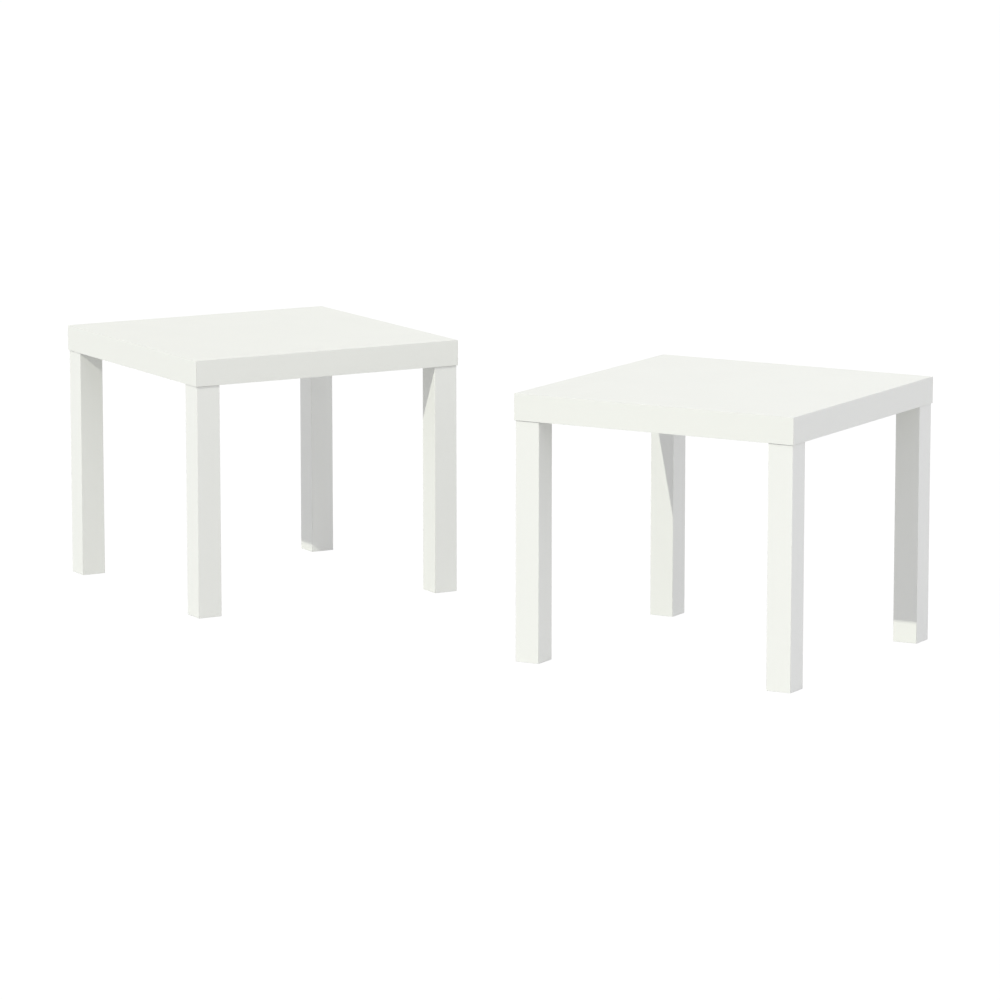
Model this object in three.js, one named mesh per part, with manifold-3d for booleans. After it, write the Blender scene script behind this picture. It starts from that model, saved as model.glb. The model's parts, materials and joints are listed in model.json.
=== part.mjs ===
// A pair of identical square side tables. Each has a hollow-core top, made of two fibreboard skins on a
// particleboard frame with a paper honeycomb between them, and four hollow foil-wrapped legs that screw on
// with double-ended bolts. Table A is square to the x and y axes, and table B stands beside it, turned.
// Units are millimetres, +Z is up, and the origin is on the floor, at the middle of the pair's footprint.
import * as THREE from "three";
import { mergeVertices } from "three/addons/utils/BufferGeometryUtils.js";
import Module from "manifold-3d";

const wasm = await Module();
wasm.setup();

// Overall sizes of one table
const TOP_WIDTH = 515; // along the table's own x
const TOP_DEPTH = 515; // along the table's own y
const TABLE_HEIGHT = 450;
const TOP_THICKNESS = 45;

// Gaps between pieces
const GLUE_LINE = 0.3; // between two glued pieces, on each joint
const LEG_GAP = 0.4; // between a leg's head and the underside of the top
const THREAD_CLEARANCE = 0.3; // around a bolt's thread, on the radius
const TIP_CLEARANCE = 2; // past a bolt's tip, in its blind hole

// Hollow-core top
const SKIN_THICKNESS = 3;
const BAND_THICKNESS = 1;
const RAIL_WIDTH = 50;
const CELL_SIZE = 46; // across the flats of one honeycomb cell, wall to wall
const CELL_WALL = 1.2;

// Legs
const LEG_SECTION = 44;
const LEG_WALL = 5;
const LEG_EDGE_RADIUS = 0.6;
const LEG_INSET = 2; // from the edge of the top to the face of the leg
const HEAD_LENGTH = 70;
const FOOT_LENGTH = 30;
const FOOT_RECESS = 0.5; // the foot plug sits this far above the end of the leg

// Bolts, with a coarse thread on both ends and a plain collar where the leg meets the top
const BOLT_RADIUS = 4;
const BOLT_IN_TOP = 34;
const BOLT_IN_LEG = 42;
const BOLT_CHAMFER = 1.5;
const COLLAR_RADIUS = 5.2;
const COLLAR_LENGTH = 2.4;

// Table B's place, from the centre of table A to the centre of table B
const SPACING_X = -1005;
const SPACING_Y = 136;
const TURN_B = THREE.MathUtils.degToRad(-30);

const ROUND_SEGMENTS = 20;
const CORNER_SEGMENTS = 3;

// Sizes that follow from the ones above
const topBottom = TABLE_HEIGHT - TOP_THICKNESS;
const frameBottom = topBottom + SKIN_THICKNESS + GLUE_LINE;
const frameHeight = TOP_THICKNESS - 2 * (SKIN_THICKNESS + GLUE_LINE);
const frameWidth = TOP_WIDTH - 2 * (BAND_THICKNESS + GLUE_LINE);
const frameDepth = TOP_DEPTH - 2 * (BAND_THICKNESS + GLUE_LINE);
const legLength = topBottom - LEG_GAP;
const legX = TOP_WIDTH / 2 - LEG_INSET - LEG_SECTION / 2;
const legY = TOP_DEPTH / 2 - LEG_INSET - LEG_SECTION / 2;
const plugSize = LEG_SECTION - 2 * (LEG_WALL + GLUE_LINE);
const holeRadius = BOLT_RADIUS + THREAD_CLEARANCE;
const collarHoleRadius = COLLAR_RADIUS + THREAD_CLEARANCE;
const collarBottom = topBottom - LEG_GAP;
const legCorners = [
  { name: "front_left", x: -legX, y: -legY },
  { name: "front_right", x: legX, y: -legY },
  { name: "back_left", x: -legX, y: legY },
  { name: "back_right", x: legX, y: legY },
];

const lacquer = new THREE.MeshStandardMaterial({ color: 0xf1f2ec, roughness: 0.35, metalness: 0 });
const underside = new THREE.MeshStandardMaterial({ color: 0xe9e9e3, roughness: 0.7, metalness: 0 });
const edging = new THREE.MeshStandardMaterial({ color: 0xf1f2ec, roughness: 0.4, metalness: 0 });
const foil = new THREE.MeshStandardMaterial({ color: 0xf0f1eb, roughness: 0.4, metalness: 0 });
const particleboard = new THREE.MeshStandardMaterial({ color: 0xb89468, roughness: 0.9, metalness: 0 });
const kraftPaper = new THREE.MeshStandardMaterial({ color: 0xa98558, roughness: 0.95, metalness: 0 });
const zincSteel = new THREE.MeshStandardMaterial({ color: 0xb9bcc0, roughness: 0.35, metalness: 1 });

// A closed geometry as a manifold-3d solid, with its shared vertices merged.
function solidOf(geometry) {
  const bare = geometry.clone();
  bare.deleteAttribute("normal");
  bare.deleteAttribute("uv");
  const merged = mergeVertices(bare, 1e-3);
  return new wasm.Manifold(
    new wasm.Mesh({
      numProp: 3,
      vertProperties: merged.attributes.position.array,
      triVerts: new Uint32Array(merged.index.array),
    }),
  );
}

function geometryOf(solid) {
  const mesh = solid.getMesh();
  const geometry = new THREE.BufferGeometry();
  geometry.setAttribute("position", new THREE.BufferAttribute(mesh.vertProperties, 3));
  geometry.setIndex(new THREE.BufferAttribute(mesh.triVerts, 1));
  const faceted = geometry.toNonIndexed();
  faceted.computeVertexNormals();
  return faceted;
}

// A box whose underside is at z = 0 and which is centred in x and y.
function slab(width, depth, height) {
  return new THREE.BoxGeometry(width, depth, height).translate(0, 0, height / 2);
}

// A round bar along z, from z = bottom to z = top, centred at (x, y).
function bar(x, y, bottom, top, radius, segments = ROUND_SEGMENTS) {
  return new THREE.CylinderGeometry(radius, radius, top - bottom, segments)
    .rotateX(Math.PI / 2)
    .translate(x, y, (bottom + top) / 2);
}

function cut(geometry, cutters) {
  let solid = solidOf(geometry);
  for (const cutter of cutters) solid = solid.subtract(solidOf(cutter));
  return geometryOf(solid);
}

// A square outline with rounded corners, centred on the origin.
function roundedSquare(size, radius) {
  const half = size / 2;
  const outline = new THREE.Shape();
  outline.moveTo(half, -half + radius);
  outline.lineTo(half, half - radius);
  outline.absarc(half - radius, half - radius, radius, 0, Math.PI / 2);
  outline.lineTo(-half + radius, half);
  outline.absarc(-half + radius, half - radius, radius, Math.PI / 2, Math.PI);
  outline.lineTo(-half, -half + radius);
  outline.absarc(-half + radius, -half + radius, radius, Math.PI, 1.5 * Math.PI);
  outline.lineTo(half - radius, -half);
  outline.absarc(half - radius, -half + radius, radius, 1.5 * Math.PI, 2 * Math.PI);
  return outline;
}

function squareHole(size) {
  const half = size / 2;
  const hole = new THREE.Path();
  hole.moveTo(-half, -half);
  hole.lineTo(-half, half);
  hole.lineTo(half, half);
  hole.lineTo(half, -half);
  hole.closePath();
  return hole;
}

function piece(table, name, geometry, material, x = 0, y = 0, z = 0) {
  const mesh = new THREE.Mesh(geometry, material);
  mesh.name = name;
  mesh.position.set(x, y, z);
  table.add(mesh);
}

// ---- the hollow-core top ----

function undersideSkin() {
  const holes = legCorners.map((leg) => bar(leg.x, leg.y, -1, SKIN_THICKNESS + 1, collarHoleRadius));
  return cut(slab(frameWidth, frameDepth, SKIN_THICKNESS), holes);
}

// A side rail runs the full depth and takes the bolts of the two legs on its side.
function sideRail(side) {
  const railCentre = side * (frameWidth - RAIL_WIDTH) / 2;
  const pilotDepth = BOLT_IN_TOP + TIP_CLEARANCE - SKIN_THICKNESS - GLUE_LINE;
  const pilots = [-legY, legY].map((y) => bar(side * legX - railCentre, y, -1, pilotDepth, holeRadius));
  return cut(slab(RAIL_WIDTH, frameDepth, frameHeight), pilots);
}

// Expanded paper honeycomb, with a strip of the same paper all round it.
function honeycomb(width, depth, height) {
  const pitch = CELL_SIZE + CELL_WALL;
  const rowStep = (pitch * Math.sqrt(3)) / 2;
  const cornerRadius = CELL_SIZE / Math.sqrt(3);
  const columns = Math.ceil(width / pitch / 2) + 1;
  const rows = Math.ceil(depth / rowStep / 2) + 1;
  const cells = [];
  for (let row = -rows; row <= rows; row++) {
    for (let column = -columns; column <= columns; column++) {
      const x = (column + (row % 2 === 0 ? 0 : 0.5)) * pitch;
      cells.push(solidOf(bar(x, row * rowStep, -1, height + 1, cornerRadius, 6)));
    }
  }
  const inside = solidOf(slab(width - 2 * CELL_WALL, depth - 2 * CELL_WALL, height + 4).translate(0, 0, -2));
  const openings = wasm.Manifold.union(cells).intersect(inside);
  return geometryOf(solidOf(slab(width, depth, height)).subtract(openings));
}

function addTop(table, name) {
  const crossRailLength = frameWidth - 2 * (RAIL_WIDTH + GLUE_LINE);
  const crossRailY = (frameDepth - RAIL_WIDTH) / 2;
  const sideRailX = (frameWidth - RAIL_WIDTH) / 2;
  const coreDepth = frameDepth - 2 * (RAIL_WIDTH + GLUE_LINE);
  const bandX = (TOP_WIDTH - BAND_THICKNESS) / 2;
  const bandY = (TOP_DEPTH - BAND_THICKNESS) / 2;
  const sideBandLength = TOP_DEPTH - 2 * (BAND_THICKNESS + GLUE_LINE);

  piece(table, `${name}_top_skin`, slab(frameWidth, frameDepth, SKIN_THICKNESS), lacquer, 0, 0,
    TABLE_HEIGHT - SKIN_THICKNESS);
  piece(table, `${name}_bottom_skin`, undersideSkin(), underside, 0, 0, topBottom);
  piece(table, `${name}_rail_left`, sideRail(-1), particleboard, -sideRailX, 0, frameBottom);
  piece(table, `${name}_rail_right`, sideRail(1), particleboard, sideRailX, 0, frameBottom);
  for (const [side, place] of [["front", -1], ["back", 1]]) {
    piece(table, `${name}_rail_${side}`, slab(crossRailLength, RAIL_WIDTH, frameHeight), particleboard,
      0, place * crossRailY, frameBottom);
    piece(table, `${name}_edge_band_${side}`, slab(TOP_WIDTH, BAND_THICKNESS, TOP_THICKNESS), edging,
      0, place * bandY, topBottom);
  }
  for (const [side, place] of [["left", -1], ["right", 1]]) {
    piece(table, `${name}_edge_band_${side}`, slab(BAND_THICKNESS, sideBandLength, TOP_THICKNESS), edging,
      place * bandX, 0, topBottom);
  }
  piece(table, `${name}_honeycomb_core`, honeycomb(crossRailLength, coreDepth, frameHeight), kraftPaper,
    0, 0, frameBottom);
}

// ---- the legs ----

function legShell() {
  const outline = roundedSquare(LEG_SECTION, LEG_EDGE_RADIUS);
  outline.holes.push(squareHole(LEG_SECTION - 2 * LEG_WALL));
  return new THREE.ExtrudeGeometry(outline, {
    depth: legLength,
    bevelEnabled: false,
    curveSegments: CORNER_SEGMENTS,
  });
}

// The solid block glued into the top of a leg, with the blind hole that the leg's bolt screws into.
function headBlock() {
  const collarSeat = COLLAR_LENGTH / 2 + TIP_CLEARANCE / 2;
  return cut(slab(plugSize, plugSize, HEAD_LENGTH), [
    bar(0, 0, HEAD_LENGTH - BOLT_IN_LEG - TIP_CLEARANCE, HEAD_LENGTH + 1, holeRadius),
    bar(0, 0, HEAD_LENGTH - collarSeat, HEAD_LENGTH + 1, collarHoleRadius),
  ]);
}

// The bolt's collar sits half in the head block and half in the hole in the underside skin.
function bolt() {
  const profile = [
    [0, -BOLT_IN_LEG],
    [BOLT_RADIUS - BOLT_CHAMFER, -BOLT_IN_LEG],
    [BOLT_RADIUS, -BOLT_IN_LEG + BOLT_CHAMFER],
    [BOLT_RADIUS, -COLLAR_LENGTH / 2],
    [COLLAR_RADIUS, -COLLAR_LENGTH / 2],
    [COLLAR_RADIUS, COLLAR_LENGTH / 2],
    [BOLT_RADIUS, COLLAR_LENGTH / 2],
    [BOLT_RADIUS, BOLT_IN_TOP - BOLT_CHAMFER],
    [BOLT_RADIUS - BOLT_CHAMFER, BOLT_IN_TOP],
    [0, BOLT_IN_TOP],
  ];
  const points = profile.map(([radius, height]) => new THREE.Vector2(radius, height));
  return new THREE.LatheGeometry(points, ROUND_SEGMENTS).rotateX(Math.PI / 2);
}

function addLegs(table, name) {
  for (const leg of legCorners) {
    const label = (what) => `${name}_${what}_${leg.name}`;
    piece(table, label("leg_shell"), legShell(), foil, leg.x, leg.y, 0);
    piece(table, label("leg_head"), headBlock(), particleboard, leg.x, leg.y, legLength - HEAD_LENGTH);
    piece(table, label("leg_foot"), slab(plugSize, plugSize, FOOT_LENGTH), particleboard,
      leg.x, leg.y, FOOT_RECESS);
    piece(table, label("leg_bolt"), bolt(), zincSteel, leg.x, leg.y, collarBottom);
  }
}

function makeTable(name) {
  const table = new THREE.Group();
  addTop(table, name);
  addLegs(table, name);
  return table;
}

// ---- the pair, centred on the middle of its footprint ----

const reachX = (TOP_WIDTH * Math.cos(TURN_B) + TOP_DEPTH * Math.abs(Math.sin(TURN_B))) / 2;
const reachY = (TOP_WIDTH * Math.abs(Math.sin(TURN_B)) + TOP_DEPTH * Math.cos(TURN_B)) / 2;
const middleX = (Math.min(-TOP_WIDTH / 2, SPACING_X - reachX) + Math.max(TOP_WIDTH / 2, SPACING_X + reachX)) / 2;
const middleY = (Math.min(-TOP_DEPTH / 2, SPACING_Y - reachY) + Math.max(TOP_DEPTH / 2, SPACING_Y + reachY)) / 2;

const tableA = makeTable("table_a");
tableA.position.set(-middleX, -middleY, 0);

const tableB = makeTable("table_b");
tableB.position.set(SPACING_X - middleX, SPACING_Y - middleY, 0);
tableB.rotation.z = TURN_B;

const pair = new THREE.Group();
pair.add(tableA, tableB);
export default pair;
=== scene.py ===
"""The looks of a pair of white side tables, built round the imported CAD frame. Lengths are in metres."""
import json
import math

import bmesh
import bpy
from mathutils import Matrix, Vector


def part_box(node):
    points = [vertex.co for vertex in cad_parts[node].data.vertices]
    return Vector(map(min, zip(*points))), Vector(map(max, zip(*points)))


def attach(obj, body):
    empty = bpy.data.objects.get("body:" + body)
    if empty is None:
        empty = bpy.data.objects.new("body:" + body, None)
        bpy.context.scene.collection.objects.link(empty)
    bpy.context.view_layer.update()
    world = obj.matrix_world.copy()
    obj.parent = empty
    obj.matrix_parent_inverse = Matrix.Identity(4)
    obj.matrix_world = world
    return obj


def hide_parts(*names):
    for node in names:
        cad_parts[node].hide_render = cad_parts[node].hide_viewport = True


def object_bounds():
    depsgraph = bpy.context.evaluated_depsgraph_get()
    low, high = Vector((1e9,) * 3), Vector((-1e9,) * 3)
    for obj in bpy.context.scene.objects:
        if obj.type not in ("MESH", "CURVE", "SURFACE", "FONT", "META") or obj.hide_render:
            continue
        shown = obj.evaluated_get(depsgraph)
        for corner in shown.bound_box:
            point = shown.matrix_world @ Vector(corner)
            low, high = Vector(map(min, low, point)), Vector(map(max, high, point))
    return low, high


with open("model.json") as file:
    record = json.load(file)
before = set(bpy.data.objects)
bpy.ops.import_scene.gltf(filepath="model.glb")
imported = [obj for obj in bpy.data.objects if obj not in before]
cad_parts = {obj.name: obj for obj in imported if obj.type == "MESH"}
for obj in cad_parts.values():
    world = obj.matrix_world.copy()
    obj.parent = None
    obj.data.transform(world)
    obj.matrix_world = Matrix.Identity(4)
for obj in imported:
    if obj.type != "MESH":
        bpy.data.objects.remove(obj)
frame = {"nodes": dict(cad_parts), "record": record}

cad_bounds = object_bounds()
TABLES = ("table_a", "table_b")
SIDES = ("front", "back", "left", "right")
CORNERS = ("front_left", "front_right", "back_left", "back_right")
MM = 0.001

# Joints and edges of the finished boards
SEAM = 0.06 * MM  # the hairline left between an edge band and the sheet beside it
SHEET_EDGE = 0.12 * MM  # the eased edge of the upper sheet
BAND_EDGE = 0.25 * MM  # the scraped and rounded edge of an edge band
FOIL_RADIUS = 0.6 * MM  # the outer corner that the foil wraps round
SAW_CHAMFER = 0.5 * MM  # the eased ends of a leg and of its foot plug
BORE_CORNER = 0.12 * MM  # the inner corners of a leg
LEG_WALL = 5 * MM
EDGE_STEPS = 3  # facets round an eased edge
CORNER_STEPS = 5  # and round a leg's corner
HOLE_CLEARANCE = 0.3 * MM  # round a bolt, in the lower sheet
HOLE_SIDES = 32
FLAT = 0.9999  # the least that a flat face's normal lies along one axis
FACING_OUT = 0.3  # the least that a foil-covered face looks away from its leg's middle

# Bolts
THREAD_PITCH = 2.8 * MM
THREAD_DEPTH = 1.1 * MM
THREAD_SIDES = 20
RINGS_PER_TURN = 6
RIDGE_SHARE = 0.32  # half the ridge's width, as a share of the pitch
TIP_TAPER = 3 * MM
TIP_WIDTH = 0.62  # of the bolt's full width
COLLAR_STEP = 1.2 * MM  # how far the collar stands out past the thread
COLLAR_HALF = 1.2 * MM  # and how far it reaches on each side of the joint
COLLAR_EDGE = 0.3 * MM

# Finishes
CHIP_WANDER = 2.2 * MM  # how far a shaving's outline strays
PATCH_SIZE = 90 * MM
PATCH_ROUGHNESS = 0.04  # how far the gloss wanders from patch to patch
SMUDGE_ROUGHNESS = 0.05  # and how much duller a smudge is

# Expanded paper honeycomb
CELL_SIDE = 12 * MM
PAPER = 0.25 * MM

# Camera and light
AIM = Vector((0.0393, 0.0164, -0.0336))  # from the middle of the pair
CAMERA_AZIMUTH = math.radians(30.18)
CAMERA_ELEVATION = math.radians(9.85)
CAMERA_DISTANCE = 9.07
CAMERA_LENS = 187.7
SENSOR_WIDTH = 36
FARTHEST_SEEN = 200
TO_SUN = Vector((-0.199, -1.27, 1.0))
SUN_ANGLE = math.radians(0.53)
SUN_STRENGTH = 1.55
SUN_COLOUR = (0.98, 1.0, 0.88)
SOFT_NARROWING = 6.0
SOFT_LIGHTS = {  # degrees round from the camera's side, degrees up, strength, blueness
    "over_camera": (0, 40, 0.88, 0.98),
    "right_front": (45, 8, 1.1, 0.98),
    "right": (90, 8, 0.89, 1.1),
    "right_behind": (135, 8, 1.76, 1.05),
    "behind": (180, 8, 0.64, 0.88),
    "left_behind": (225, 8, 0.82, 0.74),
    "left": (270, 8, 1.49, 1.13),
    "overhead": (0, 90, 0.83, 1.22),
}
FLOOR_HALF = 60
FLOOR_SEEN = 0.985  # how bright the floor looks
FLOOR_GLOW = 0.207  # what it gives back to the tables by itself
FLOOR_BOUNCE = 0.4  # and the share of the studio's light that it throws back
FLOOR_SHADING = 0.04  # how much of that light the camera sees on it
WHITE = (1, 1, 1, 1)
COLOUR_A, COLOUR_B, COLOUR_RESULT = 6, 7, 2  # a Mix node's sockets for colours


# ---- where the pieces go ----

def mount_point(name):
    """The point of one of the record's mounts."""
    points = [mount["pos_m"] for mount in frame["record"]["mounts"] if mount["name"] == name]
    return Vector(points[0])


def table_place(table):
    """The matrix from a table's own middle, on the floor, to its place in the pair."""
    middle = mount_point(f"{table}_top_face")
    left = mount_point(f"{table}_floor_face_front_left")
    right = mount_point(f"{table}_floor_face_front_right")
    turn = math.atan2(right.y - left.y, right.x - left.x)
    return Matrix.Translation((middle.x, middle.y, 0)) @ Matrix.Rotation(turn, 4, "Z")


def own_box(piece):
    """A piece's lowest and highest corners, measured from the middle of its own table's footprint."""
    middle = mount_point("table_a_top_face")
    low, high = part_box(f"table_a_{piece}")
    across = Vector((middle.x, middle.y, 0))
    return low - across, high - across


# ---- mesh helpers ----

def mesh_from(shape, name):
    """A mesh from a bmesh, with its flat sides flat and its rounded edges smooth."""
    bmesh.ops.recalc_face_normals(shape, faces=shape.faces)
    for face in shape.faces:
        face.smooth = max(abs(part) for part in face.normal) < FLAT
    mesh = bpy.data.meshes.new(name)
    shape.to_mesh(mesh)
    shape.free()
    return mesh


def rounded_block(low, high, radius, name):
    """A board with every edge rounded."""
    shape = bmesh.new()
    bmesh.ops.create_cube(shape, size=1)
    size = high - low
    for corner in shape.verts:
        corner.co = Vector(a + (share + 0.5) * length for a, share, length in zip(low, corner.co, size))
    bmesh.ops.bevel(shape, geom=shape.edges, offset=radius, offset_type="OFFSET", segments=EDGE_STEPS,
                    profile=0.5, affect="EDGES", clamp_overlap=True)
    return mesh_from(shape, name)


def rounded_square(half, radius, height, middle):
    """The points of a square with rounded corners, at one height."""
    points = []
    for quarter in range(4):
        corner = Vector((half - radius, half - radius, 0))
        for step in range(CORNER_STEPS + 1):
            angle = math.pi / 2 * step / CORNER_STEPS
            point = corner + Vector((math.cos(angle), math.sin(angle), 0)) * radius
            point.rotate(Matrix.Rotation(math.pi / 2 * quarter, 3, "Z"))
            points.append(point + Vector((middle.x, middle.y, height)))
    return points


def round_ring(height, radius, middle, sides):
    """The points of a circle, at one height."""
    angles = [2 * math.pi * step / sides for step in range(sides)]
    return [Vector((middle.x + radius * math.cos(angle), middle.y + radius * math.sin(angle), height))
            for angle in angles]


def loft(loops, closed):
    """A skin over loops of points.

    A closed one joins its last loop to its first, and an open one is capped.
    """
    shape = bmesh.new()
    rings = [[shape.verts.new(point) for point in loop] for loop in loops]
    pairs = list(zip(rings, rings[1:]))
    if closed:
        pairs.append((rings[-1], rings[0]))
    for lower, upper in pairs:
        for index in range(len(lower)):
            after = (index + 1) % len(lower)
            shape.faces.new((lower[index], lower[after], upper[after], upper[index]))
    if not closed:
        shape.faces.new(rings[0])
        shape.faces.new(rings[-1])
    return shape


def finish_piece(mesh, table, piece, materials):
    """Puts a mesh made in a table's own frame in its place.

    The finished piece rides on its table and stands for the CAD node of the same name.
    """
    mesh.transform(table_place(table))
    for material in materials:
        mesh.materials.append(material)
    node = f"{table}_{piece}"
    made = bpy.data.objects.new(f"{node}_finished", mesh)
    bpy.context.scene.collection.objects.link(made)
    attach(made, table)
    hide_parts(node)


# ---- shader helpers ----

class Graph:
    """A node tree being built: add() makes a node, and a value given as a socket is linked."""

    def __init__(self, tree):
        self.tree = tree

    def add(self, kind, settings=None, **inputs):
        """A new node. An underscore in an input's name stands for a space."""
        made = self.tree.nodes.new(kind)
        for name, value in (settings or {}).items():
            setattr(made, name, value)
        for name, value in inputs.items():
            self.feed(made.inputs[name.replace("_", " ")], value)
        return made

    def feed(self, socket, value):
        """Links a socket to the input, or sets the input to a plain value."""
        if isinstance(value, bpy.types.NodeSocket):
            self.tree.links.new(value, socket)
        else:
            socket.default_value = value

    def maths(self, operation, *values):
        """The result of one sum."""
        made = self.tree.nodes.new("ShaderNodeMath")
        made.operation = operation
        for socket, value in zip(made.inputs, values):
            self.feed(socket, value)
        return made.outputs[0]

    def spread(self, value, low, high):
        """A value from 0 to 1, spread between two others."""
        made = self.add("ShaderNodeMapRange", Value=value, To_Min=low, To_Max=high)
        return made.outputs["Result"]

    def mix(self, share, first, second):
        """The first colour, with a share of the second mixed in."""
        made = self.add("ShaderNodeMix", {"data_type": "RGBA"})
        self.feed(made.inputs["Factor"], share)
        self.feed(made.inputs[COLOUR_A], first)
        self.feed(made.inputs[COLOUR_B], second)
        return made.outputs[COLOUR_RESULT]

    def noise(self, vector, size, detail=2.0, roughness=0.5):
        """Noise whose lumps are about that size across."""
        scale = self.maths("DIVIDE", 1.0, size)
        made = self.add("ShaderNodeTexNoise", {"normalize": True}, Vector=vector, Scale=scale,
                        Detail=detail, Roughness=roughness)
        return made.outputs["Fac"]


def shader_group(name, inputs, outputs):
    """A new shader node group, its graph, and its input and output nodes."""
    tree = bpy.data.node_groups.new(name, "ShaderNodeTree")
    for socket, kind, value in inputs:
        made = tree.interface.new_socket(socket, in_out="INPUT", socket_type=kind)
        if value is not None:
            made.default_value = value
    for socket, kind in outputs:
        tree.interface.new_socket(socket, in_out="OUTPUT", socket_type=kind)
    given = tree.nodes.new("NodeGroupInput")
    result = tree.nodes.new("NodeGroupOutput")
    return tree, Graph(tree), given.outputs, result.inputs


def orange_peel_group():
    """The soft ripple that sprayed and rolled finishes dry with."""
    tree, graph, given, result = shader_group(
        "orange_peel",
        [("Vector", "NodeSocketVector", None), ("Ripple Size", "NodeSocketFloat", 0.003),
         ("Grain Size", "NodeSocketFloat", 0.0004), ("Grain Share", "NodeSocketFloat", 0.2)],
        [("Height", "NodeSocketFloat")])
    ripple = graph.noise(given["Vector"], given["Ripple Size"], 1.0, 0.4)
    grain = graph.noise(given["Vector"], given["Grain Size"], 2.0, 0.6)
    fine = graph.maths("MULTIPLY", grain, given["Grain Share"])
    graph.feed(result["Height"], graph.maths("ADD", ripple, fine))
    return tree


def mottle_group():
    """Broad, faint patches, for the small differences across a real sheet."""
    tree, graph, given, result = shader_group(
        "mottle",
        [("Vector", "NodeSocketVector", None), ("Patch Size", "NodeSocketFloat", 0.08)],
        [("Patches", "NodeSocketFloat"), ("Smudges", "NodeSocketFloat")])
    patches = graph.noise(given["Vector"], given["Patch Size"], 3.0, 0.55)
    smaller = graph.maths("MULTIPLY", given["Patch Size"], 0.22)
    streaks = graph.noise(given["Vector"], smaller, 4.0, 0.65)
    smudges = graph.add("ShaderNodeMapRange", {"interpolation_type": "SMOOTHSTEP"}, Value=streaks,
                        From_Min=0.52, From_Max=0.72)
    graph.feed(result["Patches"], patches)
    graph.feed(result["Smudges"], smudges.outputs["Result"])
    return tree


def chips_group():
    """Pressed wood shavings: two layers lying across each other, dark bark here and there, and fine dust."""
    tree, graph, given, result = shader_group(
        "pressed_chips",
        [("Vector", "NodeSocketVector", None), ("Chip Size", "NodeSocketFloat", 0.003)],
        [("Tone", "NodeSocketFloat"), ("Bark", "NodeSocketFloat"), ("Height", "NodeSocketFloat")])
    scale = graph.maths("DIVIDE", 1.0, given["Chip Size"])
    bend = graph.add("ShaderNodeTexNoise", Vector=given["Vector"], Scale=scale, Detail=3.0)
    wander = graph.add("ShaderNodeVectorMath", {"operation": "MULTIPLY_ADD"})
    graph.feed(wander.inputs[0], bend.outputs["Color"])
    wander.inputs[1].default_value = (CHIP_WANDER, CHIP_WANDER, CHIP_WANDER)
    graph.feed(wander.inputs[2], given["Vector"])
    layers = []
    for squeeze, turn in (((0.8, 3.4, 2.8), (0.2, 0.3, 0.6)), ((3.2, 0.9, 2.6), (-0.3, 0.2, -0.4))):
        lay = graph.add("ShaderNodeMapping", Vector=wander.outputs["Vector"], Scale=squeeze, Rotation=turn)
        chips = graph.add("ShaderNodeTexVoronoi", {"feature": "F1"}, Vector=lay.outputs["Vector"],
                          Scale=scale)
        layers.append(chips.outputs["Color"])
    over = graph.add("ShaderNodeSeparateColor", Color=layers[0])
    under = graph.add("ShaderNodeSeparateColor", Color=layers[1])
    on_top = graph.maths("GREATER_THAN", over.outputs["Blue"], 0.45)
    parts = graph.add("ShaderNodeSeparateColor", Color=graph.mix(on_top, layers[1], layers[0]))
    dust = graph.noise(given["Vector"], graph.maths("MULTIPLY", given["Chip Size"], 0.1), 3.0, 0.7)
    tone = graph.maths("MULTIPLY_ADD", dust, 0.5, graph.maths("MULTIPLY", parts.outputs["Red"], 0.5))
    dark = graph.maths("MULTIPLY", over.outputs["Green"], under.outputs["Green"])
    bark = graph.maths("MULTIPLY", graph.maths("GREATER_THAN", dark, 0.8), 0.8)
    height = graph.maths("MULTIPLY_ADD", dust, 0.6, graph.maths("MULTIPLY", parts.outputs["Blue"], 0.5))
    graph.feed(result["Tone"], tone)
    graph.feed(result["Bark"], bark)
    graph.feed(result["Height"], height)
    return tree


def fibres_group():
    """Fine fibres, for raw fibreboard and brown paper."""
    tree, graph, given, result = shader_group(
        "fibres",
        [("Vector", "NodeSocketVector", None), ("Fibre Size", "NodeSocketFloat", 0.0006)],
        [("Fibres", "NodeSocketFloat"), ("Flecks", "NodeSocketFloat")])
    lay = graph.add("ShaderNodeMapping", Vector=given["Vector"], Scale=(1.0, 3.5, 1.6),
                    Rotation=(0.3, 0.2, 0.6))
    cross = graph.add("ShaderNodeMapping", Vector=given["Vector"], Scale=(3.2, 1.0, 1.4),
                      Rotation=(0.1, 0.4, -0.5))
    first = graph.noise(lay.outputs["Vector"], given["Fibre Size"], 3.0, 0.6)
    second = graph.noise(cross.outputs["Vector"], given["Fibre Size"], 3.0, 0.6)
    fleck_size = graph.maths("MULTIPLY", given["Fibre Size"], 1.3)
    flecks = graph.maths("GREATER_THAN", graph.noise(given["Vector"], fleck_size, 1.0, 0.3), 0.7)
    graph.feed(result["Fibres"], graph.maths("MAXIMUM", first, second))
    graph.feed(result["Flecks"], flecks)
    return tree


def use_group(graph, tree, **inputs):
    """Places a group in a graph with its own values, and gives its outputs."""
    made = graph.add("ShaderNodeGroup", {"node_tree": tree})
    for name, value in inputs.items():
        graph.feed(made.inputs[name.replace("_", " ")], value)
    return made.outputs


def new_material(name):
    """A new material, its graph, its Principled shader and its object coordinates."""
    material = bpy.data.materials.new(name)
    material.use_nodes = True
    graph = Graph(material.node_tree)
    shader = material.node_tree.nodes["Principled BSDF"]
    where = graph.add("ShaderNodeTexCoord").outputs["Object"]
    return material, graph, shader, where


def bump(graph, shader, height, distance):
    """Raises a surface by a height from 0 to 1, times a distance."""
    made = graph.add("ShaderNodeBump", Height=height, Distance=distance)
    graph.feed(shader.inputs["Normal"], made.outputs["Normal"])


# ---- finishes ----

PEEL = orange_peel_group()
MOTTLE = mottle_group()
CHIPS = chips_group()
FIBRES = fibres_group()


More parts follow.
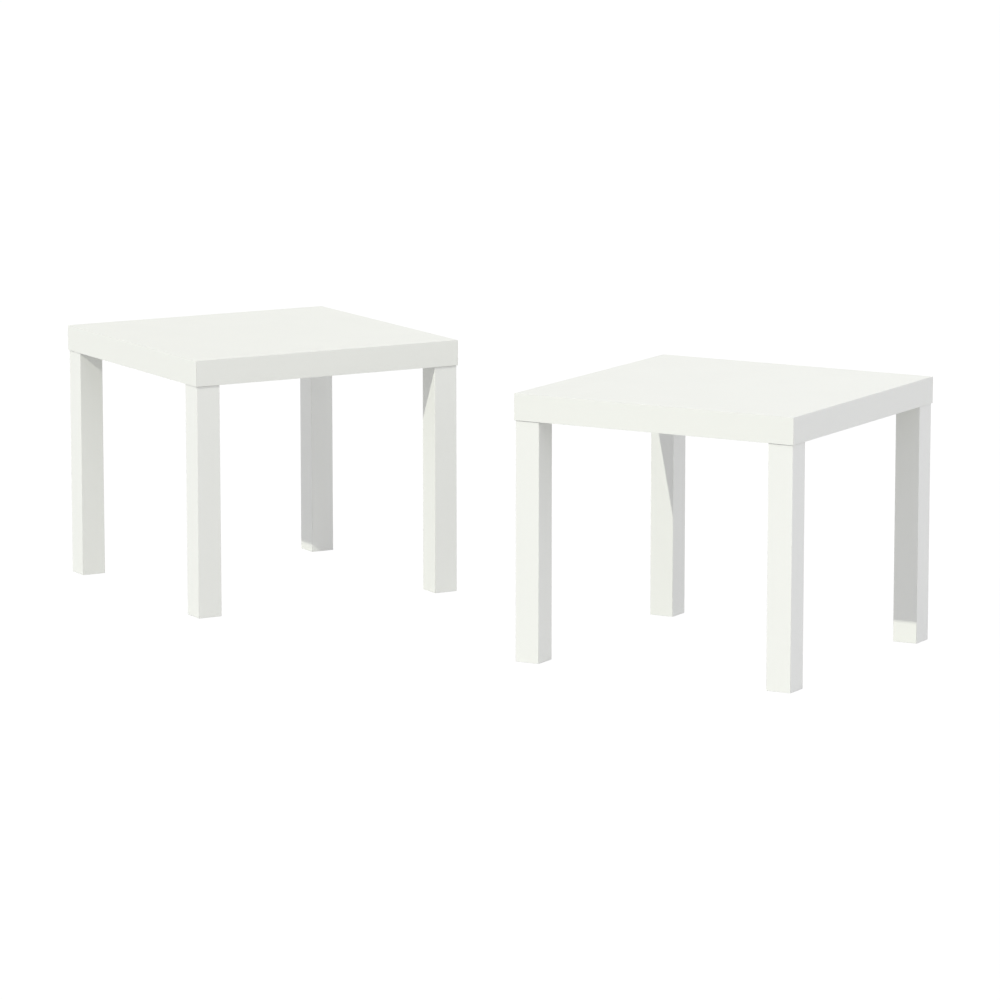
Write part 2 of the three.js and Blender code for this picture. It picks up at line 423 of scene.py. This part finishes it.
def white_finish(name, clean, worn, roughness, shine, ripple, grain, grain_share, depth):
    """A white coat.

    It has two near whites in faint patches, an uneven gloss, and the ripple that it dried with.
    """
    material, graph, shader, where = new_material(name)
    patches = use_group(graph, MOTTLE, Vector=where, Patch_Size=PATCH_SIZE)
    peel = use_group(graph, PEEL, Vector=where, Ripple_Size=ripple, Grain_Size=grain, Grain_Share=grain_share)
    graph.feed(shader.inputs["Base Color"], graph.mix(patches["Patches"], clean, worn))
    even = graph.spread(patches["Patches"], roughness - PATCH_ROUGHNESS, roughness + PATCH_ROUGHNESS)
    rubbed = graph.maths("MULTIPLY_ADD", patches["Smudges"], SMUDGE_ROUGHNESS, even)
    graph.feed(shader.inputs["Roughness"], rubbed)
    shader.inputs["Specular IOR Level"].default_value = shine
    bump(graph, shader, peel["Height"], depth)
    return material


def lacquer():
    """Satin white lacquer, rolled on the upper sheet."""
    return white_finish("white_lacquer", clean=(0.86, 0.866, 0.83, 1), worn=(0.845, 0.851, 0.815, 1),
                        roughness=0.36, shine=0.5, ripple=3.5 * MM, grain=0.5 * MM, grain_share=0.12,
                        depth=0.03 * MM)


def edge_band():
    """White plastic banding, a little duller than the lacquer."""
    return white_finish("white_edge_band", clean=(0.86, 0.866, 0.83, 1), worn=(0.847, 0.853, 0.817, 1),
                        roughness=0.44, shine=0.5, ripple=2.2 * MM, grain=0.4 * MM, grain_share=0.3,
                        depth=0.02 * MM)


def foil():
    """The thin white foil that is wrapped round a leg."""
    return white_finish("white_foil", clean=(0.872, 0.877, 0.848, 1), worn=(0.86, 0.865, 0.836, 1),
                        roughness=0.48, shine=0.4, ripple=1.8 * MM, grain=0.35 * MM, grain_share=0.45,
                        depth=0.02 * MM)


def primed_underside():
    """The thin matt primer under the top."""
    return white_finish("white_underside", clean=(0.82, 0.825, 0.79, 1), worn=(0.77, 0.775, 0.74, 1),
                        roughness=0.72, shine=0.3, ripple=1.2 * MM, grain=0.5 * MM, grain_share=0.8,
                        depth=0.05 * MM)


def raw_particleboard():
    """Sawn particleboard: dark and pale shavings, with bark among them."""
    material, graph, shader, where = new_material("particleboard")
    chips = use_group(graph, CHIPS, Vector=where, Chip_Size=3.2 * MM)
    wood = graph.mix(chips["Tone"], (0.40, 0.25, 0.13, 1), (0.70, 0.52, 0.32, 1))
    graph.feed(shader.inputs["Base Color"], graph.mix(chips["Bark"], wood, (0.17, 0.10, 0.055, 1)))
    graph.feed(shader.inputs["Roughness"], graph.spread(chips["Tone"], 0.95, 0.8))
    bump(graph, shader, chips["Height"], 0.2 * MM)
    return material


def raw_fibreboard():
    """The cut and bare faces of a leg's fibreboard walls."""
    material, graph, shader, where = new_material("fibreboard")
    fibres = use_group(graph, FIBRES, Vector=where, Fibre_Size=0.5 * MM)
    wood = graph.mix(fibres["Fibres"], (0.33, 0.21, 0.12, 1), (0.62, 0.45, 0.29, 1))
    graph.feed(shader.inputs["Base Color"], graph.mix(fibres["Flecks"], wood, (0.27, 0.17, 0.095, 1)))
    graph.feed(shader.inputs["Roughness"], graph.spread(fibres["Fibres"], 0.92, 0.8))
    bump(graph, shader, fibres["Fibres"], 0.08 * MM)
    return material


def kraft_paper():
    """Brown recycled paper."""
    material, graph, shader, where = new_material("kraft_paper")
    fibres = use_group(graph, FIBRES, Vector=where, Fibre_Size=0.9 * MM)
    paper = graph.mix(fibres["Fibres"], (0.30, 0.19, 0.10, 1), (0.55, 0.40, 0.24, 1))
    graph.feed(shader.inputs["Base Color"], graph.mix(fibres["Flecks"], paper, (0.18, 0.12, 0.07, 1)))
    graph.feed(shader.inputs["Roughness"], graph.spread(fibres["Fibres"], 0.98, 0.85))
    bump(graph, shader, fibres["Fibres"], 0.06 * MM)
    return material


def zinc_steel():
    """Bright zinc plating, bluish in some patches and yellowish in others."""
    material, graph, shader, where = new_material("zinc_steel")
    patches = use_group(graph, MOTTLE, Vector=where, Patch_Size=12 * MM)
    peel = use_group(graph, PEEL, Vector=where, Ripple_Size=1.2 * MM, Grain_Size=0.2 * MM, Grain_Share=0.5)
    shader.inputs["Metallic"].default_value = 1.0
    graph.feed(shader.inputs["Base Color"],
               graph.mix(patches["Patches"], (0.62, 0.66, 0.71, 1), (0.72, 0.71, 0.65, 1)))
    worn = graph.maths("MULTIPLY_ADD", patches["Smudges"], 0.15, graph.spread(patches["Patches"], 0.25, 0.4))
    graph.feed(shader.inputs["Roughness"], worn)
    bump(graph, shader, peel["Height"], 0.03 * MM)
    return material


LACQUER = lacquer()
EDGE_BAND = edge_band()
FOIL = foil()
UNDERSIDE = primed_underside()
PARTICLEBOARD = raw_particleboard()
FIBREBOARD = raw_fibreboard()
KRAFT = kraft_paper()
ZINC = zinc_steel()


# ---- the hollow-core top ----

def make_top_sheet(table):
    """The upper sheet, brought out to a hairline from the edge bands round it."""
    low, high = own_box("top_skin")
    left, right = own_box("edge_band_left")[1].x, own_box("edge_band_right")[0].x
    front, back = own_box("edge_band_front")[1].y, own_box("edge_band_back")[0].y
    low = Vector((left + SEAM, front + SEAM, low.z))
    high = Vector((right - SEAM, back - SEAM, high.z))
    mesh = rounded_block(low, high, SHEET_EDGE, "top_sheet")
    finish_piece(mesh, table, "top_skin", [LACQUER])


def make_bottom_sheet(table):
    """The lower sheet, with a round hole over each leg for its bolt."""
    low, high = own_box("bottom_skin")
    loops = [[(low.x, low.y, low.z), (high.x, low.y, low.z), (high.x, high.y, low.z), (low.x, high.y, low.z)]]
    for corner in CORNERS:
        first, second = own_box(f"leg_bolt_{corner}")
        radius = (second.x - first.x) / 2 + HOLE_CLEARANCE
        loops.append(round_ring(low.z, radius, (first + second) / 2, HOLE_SIDES))
    shape = bmesh.new()
    edges = []
    for loop in loops:
        ring = [shape.verts.new(point) for point in loop]
        edges += [shape.edges.new((a, b)) for a, b in zip(ring, ring[1:] + ring[:1])]
    bmesh.ops.triangle_fill(shape, use_beauty=True, use_dissolve=False, edges=edges)
    raised = bmesh.ops.extrude_face_region(shape, geom=shape.faces[:])
    points = [part for part in raised["geom"] if isinstance(part, bmesh.types.BMVert)]
    bmesh.ops.translate(shape, verts=points, vec=(0, 0, high.z - low.z))
    finish_piece(mesh_from(shape, "bottom_sheet"), table, "bottom_skin", [UNDERSIDE])


def make_edge_bands(table):
    """The front and back bands cover the ends of the left and right ones."""
    for side in SIDES:
        low, high = own_box(f"edge_band_{side}")
        if side in ("left", "right"):
            low.y = own_box("edge_band_front")[1].y + SEAM
            high.y = own_box("edge_band_back")[0].y - SEAM
        mesh = rounded_block(low, high, BAND_EDGE, f"band_{side}")
        finish_piece(mesh, table, f"edge_band_{side}", [EDGE_BAND])


def honeycomb_tree():
    """Geometry Nodes: folded paper strips, each one glued to the crests of the one before."""
    tree = bpy.data.node_groups.new("honeycomb", "GeometryNodeTree")
    for name in ("Width", "Depth", "Height", "Cell Side", "Paper"):
        tree.interface.new_socket(name, in_out="INPUT", socket_type="NodeSocketFloat")
    tree.interface.new_socket("Geometry", in_out="OUTPUT", socket_type="NodeSocketGeometry")
    given = tree.nodes.new("NodeGroupInput").outputs
    result = tree.nodes.new("NodeGroupOutput")
    graph = Graph(tree)
    side = given["Cell Side"]

    # one strip: flat, slope up, flat, slope down. A fold takes four points and three sides' length
    period = graph.maths("MULTIPLY", side, 3.0)
    folds = graph.maths("FLOOR", graph.maths("DIVIDE", given["Width"], period))
    points = graph.maths("MULTIPLY", folds, 4.0)
    line = graph.add("GeometryNodeMeshLine", Count=points)
    index = graph.add("GeometryNodeInputIndex").outputs["Index"]
    step = graph.maths("MODULO", index, 4.0)
    crest = graph.maths("FLOOR", graph.maths("DIVIDE", step, 2.0))
    turn = graph.maths("FLOOR", graph.maths("DIVIDE", index, 4.0))
    along = graph.maths("SUBTRACT", step, graph.maths("MULTIPLY", crest, 0.5))
    x = graph.maths("MULTIPLY_ADD", along, side, graph.maths("MULTIPLY", turn, period))
    rise = graph.maths("MULTIPLY", side, math.sqrt(3) / 2)
    y = graph.maths("MULTIPLY", crest, rise)
    place = graph.add("ShaderNodeCombineXYZ", X=x, Y=y)
    folded = graph.add("GeometryNodeSetPosition", Geometry=line.outputs["Mesh"],
                       Position=place.outputs["Vector"])
    path = graph.add("GeometryNodeMeshToCurve", Mesh=folded.outputs["Geometry"])
    upright = graph.add("GeometryNodeSetCurveNormal", {"mode": "Z_UP"}, Curve=path.outputs["Curve"])
    section = graph.add("GeometryNodeCurvePrimitiveQuadrilateral", Width=given["Paper"],
                        Height=given["Height"])
    strip = graph.add("GeometryNodeCurveToMesh", Curve=upright.outputs["Curve"],
                      Profile_Curve=section.outputs["Curve"], Fill_Caps=True)

    # every other strip is turned over, so that crests meet crests
    pitch = graph.maths("ADD", rise, given["Paper"])
    count = graph.maths("FLOOR", graph.maths("DIVIDE", given["Depth"], pitch))
    rows = graph.add("GeometryNodeMeshLine", Count=count)
    over = graph.maths("MODULO", index, 2.0)
    level = graph.maths("MULTIPLY", graph.maths("ADD", index, over), pitch)
    row_place = graph.add("ShaderNodeCombineXYZ", Y=level)
    rows_set = graph.add("GeometryNodeSetPosition", Geometry=rows.outputs["Mesh"],
                         Position=row_place.outputs["Vector"])
    flip = graph.add("ShaderNodeCombineXYZ", X=graph.maths("MULTIPLY", over, math.pi))
    copies = graph.add("GeometryNodeInstanceOnPoints", Points=rows_set.outputs["Geometry"],
                       Instance=strip.outputs["Mesh"], Rotation=flip.outputs["Vector"])
    real = graph.add("GeometryNodeRealizeInstances", Geometry=copies.outputs["Instances"])
    painted = graph.add("GeometryNodeSetMaterial", Geometry=real.outputs["Geometry"], Material=KRAFT)
    tree.links.new(painted.outputs["Geometry"], result.inputs["Geometry"])
    return tree


def honeycomb_mesh(width, depth, height):
    """The honeycomb tree's result as a plain mesh, in the middle of x, y and z."""
    holder = bpy.data.objects.new("honeycomb_maker", bpy.data.meshes.new("honeycomb_maker"))
    bpy.context.scene.collection.objects.link(holder)
    modifier = holder.modifiers.new("honeycomb", "NODES")
    modifier.node_group = honeycomb_tree()
    values = {"Width": width, "Depth": depth, "Height": height, "Cell Side": CELL_SIDE, "Paper": PAPER}
    for item in modifier.node_group.interface.items_tree:
        if item.in_out == "INPUT":
            modifier[item.identifier] = values[item.name]
    bpy.context.view_layer.update()
    mesh = bpy.data.meshes.new_from_object(holder.evaluated_get(bpy.context.evaluated_depsgraph_get()))
    bpy.data.objects.remove(holder)
    corners = [vertex.co for vertex in mesh.vertices]
    low = Vector(min(co[axis] for co in corners) for axis in range(3))
    high = Vector(max(co[axis] for co in corners) for axis in range(3))
    mesh.transform(Matrix.Translation((low + high) / -2))
    return mesh


def make_honeycomb(table):
    """The paper core, filling the space between the rails."""
    low, high = own_box("honeycomb_core")
    size = high - low
    mesh = honeycomb_mesh(size.x, size.y, size.z)
    mesh.transform(Matrix.Translation((low + high) / 2))
    mesh.materials.clear()
    finish_piece(mesh, table, "honeycomb_core", [KRAFT])


# ---- the legs ----

def make_leg_shell(table, corner):
    """A hollow post wrapped in foil, with the raw board showing at its cut ends and inside."""
    low, high = own_box(f"leg_shell_{corner}")
    middle = (low + high) / 2
    half = (high.x - low.x) / 2
    inner = half - LEG_WALL
    outline = [
        (half - SAW_CHAMFER, FOIL_RADIUS, low.z),
        (half, FOIL_RADIUS, low.z + SAW_CHAMFER),
        (half, FOIL_RADIUS, high.z - SAW_CHAMFER),
        (half - SAW_CHAMFER, FOIL_RADIUS, high.z),
        (inner, BORE_CORNER, high.z),
        (inner, BORE_CORNER, low.z),
    ]
    loops = [rounded_square(size, radius, height, middle) for size, radius, height in outline]
    shape = loft(loops, closed=True)
    bmesh.ops.recalc_face_normals(shape, faces=shape.faces)
    for face in shape.faces:
        centre = face.calc_center_median()
        outward = centre - Vector((middle.x, middle.y, centre.z))
        faces_out = outward.dot(face.normal) > FACING_OUT * outward.length
        wrapped = faces_out and outward.length > inner + SEAM
        face.material_index = 0 if wrapped else 1
    mesh = mesh_from(shape, "leg_shell")
    finish_piece(mesh, table, f"leg_shell_{corner}", [FOIL, FIBREBOARD])


def make_foot_plug(table, corner):
    """The block that closes the lower end of a leg."""
    low, high = own_box(f"leg_foot_{corner}")
    mesh = rounded_block(low, high, SAW_CHAMFER, "foot_plug")
    finish_piece(mesh, table, f"leg_foot_{corner}", [PARTICLEBOARD])


def thread_ring(height, core, crest, taper, middle):
    """One ring of a screw thread: the ridge comes round once in each pitch."""
    ring = []
    for step in range(THREAD_SIDES):
        angle = 2 * math.pi * step / THREAD_SIDES
        phase = (height / THREAD_PITCH - angle / (2 * math.pi)) % 1.0
        ridge = max(0.0, 1 - abs(phase - 0.5) / RIDGE_SHARE)
        radius = (core + (crest - core) * ridge) * taper
        x = middle.x + radius * math.cos(angle)
        y = middle.y + radius * math.sin(angle)
        ring.append(Vector((x, y, height)))
    return ring


def thread_rings(bottom, top, tip, core, crest, middle):
    """Rings from bottom to top, narrowing towards the end that is the tip."""
    count = round((top - bottom) / THREAD_PITCH * RINGS_PER_TURN)
    rings = []
    for index in range(count + 1):
        height = bottom + (top - bottom) * index / count
        from_tip = abs(height - tip)
        taper = min(1.0, TIP_WIDTH + (1 - TIP_WIDTH) * from_tip / TIP_TAPER)
        rings.append(thread_ring(height, core, crest, taper, middle))
    return rings


def collar_rings(joint, core, rim, middle):
    """A low drum with eased edges, half below the joint and half above it."""
    under, over = joint - COLLAR_HALF, joint + COLLAR_HALF
    outline = [
        (under, core),
        (under, rim - COLLAR_EDGE),
        (under + COLLAR_EDGE, rim),
        (over - COLLAR_EDGE, rim),
        (over, rim - COLLAR_EDGE),
        (over, core),
    ]
    return [round_ring(height, radius, middle, THREAD_SIDES) for height, radius in outline]


def make_bolt(table, corner):
    """A double-ended bolt: a coarse thread for the leg, a collar, and a coarse thread for the top."""
    low, high = own_box(f"leg_bolt_{corner}")
    middle = (low + high) / 2
    rim = (high.x - low.x) / 2
    crest = rim - COLLAR_STEP
    core = crest - THREAD_DEPTH
    joint = own_box(f"leg_shell_{corner}")[1].z
    clear = COLLAR_HALF + COLLAR_EDGE
    loops = thread_rings(low.z, joint - clear, low.z, core, crest, middle)
    loops += collar_rings(joint, core, rim, middle)
    loops += thread_rings(joint + clear, high.z, high.z, core, crest, middle)
    mesh = mesh_from(loft(loops, closed=False), "bolt")
    finish_piece(mesh, table, f"leg_bolt_{corner}", [ZINC])


def paint_hidden_boards(table):
    """The frame rails and the head blocks keep their CAD shape."""
    pieces = [f"rail_{side}" for side in SIDES]
    pieces += [f"leg_head_{corner}" for corner in CORNERS]
    for piece in pieces:
        board = frame["nodes"][f"{table}_{piece}"]
        board.data.materials.clear()
        board.data.materials.append(PARTICLEBOARD)


def make_table(table):
    """All the pieces of one table."""
    make_top_sheet(table)
    make_bottom_sheet(table)
    make_edge_bands(table)
    make_honeycomb(table)
    for corner in CORNERS:
        make_leg_shell(table, corner)
        make_foot_plug(table, corner)
        make_bolt(table, corner)
    paint_hidden_boards(table)


# ---- the studio ----

def make_floor():
    """A plain white floor.

    It throws some of the light back up, and the camera sees hardly a shadow on it.
    """
    shape = bmesh.new()
    bmesh.ops.create_grid(shape, x_segments=1, y_segments=1, size=FLOOR_HALF)
    mesh = bpy.data.meshes.new("floor")
    shape.to_mesh(mesh)
    shape.free()
    floor = bpy.data.objects.new("floor", mesh)
    bpy.context.scene.collection.objects.link(floor)
    material = bpy.data.materials.new("floor_white")
    material.use_nodes = True
    material.node_tree.nodes.clear()
    graph = Graph(material.node_tree)
    seen = graph.add("ShaderNodeLightPath").outputs["Is Camera Ray"]
    glow = graph.add("ShaderNodeEmission", Color=WHITE, Strength=graph.spread(seen, FLOOR_GLOW, FLOOR_SEEN))
    matt = graph.add("ShaderNodeBsdfDiffuse", Color=graph.spread(seen, FLOOR_BOUNCE, FLOOR_SHADING))
    both = graph.add("ShaderNodeAddShader")
    graph.feed(both.inputs[0], glow.outputs[0])
    graph.feed(both.inputs[1], matt.outputs[0])
    graph.add("ShaderNodeOutputMaterial", Surface=both.outputs[0])
    mesh.materials.append(material)


def soft_light(graph, round_from_camera, up, strength):
    """One broad soft light in the sky, brightest in the middle."""
    turn = CAMERA_AZIMUTH + math.radians(round_from_camera)
    level = math.cos(math.radians(up))
    aim = (math.sin(turn) * level, -math.cos(turn) * level, math.sin(math.radians(up)))
    facing = graph.add("ShaderNodeVectorMath", {"operation": "DOT_PRODUCT"})
    graph.feed(facing.inputs[0], graph.add("ShaderNodeTexCoord").outputs["Generated"])
    graph.feed(facing.inputs[1], aim)
    near = graph.maths("MAXIMUM", facing.outputs["Value"], 0.0)
    return graph.maths("MULTIPLY", graph.maths("POWER", near, SOFT_NARROWING), strength)


def make_sky():
    """Broad soft lights all round. What the camera sees behind the tables is plain white."""
    world = bpy.data.worlds.new("studio")
    bpy.context.scene.world = world
    world.use_nodes = True
    graph = Graph(world.node_tree)
    brightness = 0.0
    blue = 0.0
    for round_from_camera, up, strength, blueness in SOFT_LIGHTS.values():
        light = soft_light(graph, round_from_camera, up, strength)
        brightness = graph.maths("ADD", brightness, light)
        blue = graph.maths("MULTIPLY_ADD", light, blueness, blue)
    soft = graph.add("ShaderNodeCombineColor", Red=brightness, Green=brightness, Blue=blue)
    seen = graph.add("ShaderNodeLightPath").outputs["Is Camera Ray"]
    background = world.node_tree.nodes["Background"]
    graph.feed(background.inputs["Color"], graph.mix(seen, soft.outputs["Color"], WHITE))


def make_sun():
    """The hard light that throws the tops' shadows on the legs."""
    light = bpy.data.lights.new("sun", "SUN")
    light.energy = SUN_STRENGTH
    light.color = SUN_COLOUR
    light.angle = SUN_ANGLE
    sun = bpy.data.objects.new("sun", light)
    sun.rotation_mode = "QUATERNION"
    sun.rotation_quaternion = TO_SUN.to_track_quat("Z", "Y")
    bpy.context.scene.collection.objects.link(sun)


def make_camera():
    """A long lens, from the front and a little to the right."""
    low, high = cad_bounds
    aim = (low + high) / 2 + AIM
    level = math.cos(CAMERA_ELEVATION)
    back = Vector((math.sin(CAMERA_AZIMUTH) * level, -math.cos(CAMERA_AZIMUTH) * level,
                   math.sin(CAMERA_ELEVATION)))
    lens = bpy.data.cameras.new("camera")
    lens.sensor_width = SENSOR_WIDTH
    lens.lens = CAMERA_LENS
    lens.clip_end = FARTHEST_SEEN
    camera = bpy.data.objects.new("camera", lens)
    camera.location = aim + back * CAMERA_DISTANCE
    camera.rotation_mode = "QUATERNION"
    camera.rotation_quaternion = (-back).to_track_quat("-Z", "Y")
    bpy.context.scene.collection.objects.link(camera)
    bpy.context.scene.camera = camera


make_camera()
for table in TABLES:
    make_table(table)
make_floor()
make_sky()
make_sun()
bpy.context.scene.view_settings.view_transform = "Standard"
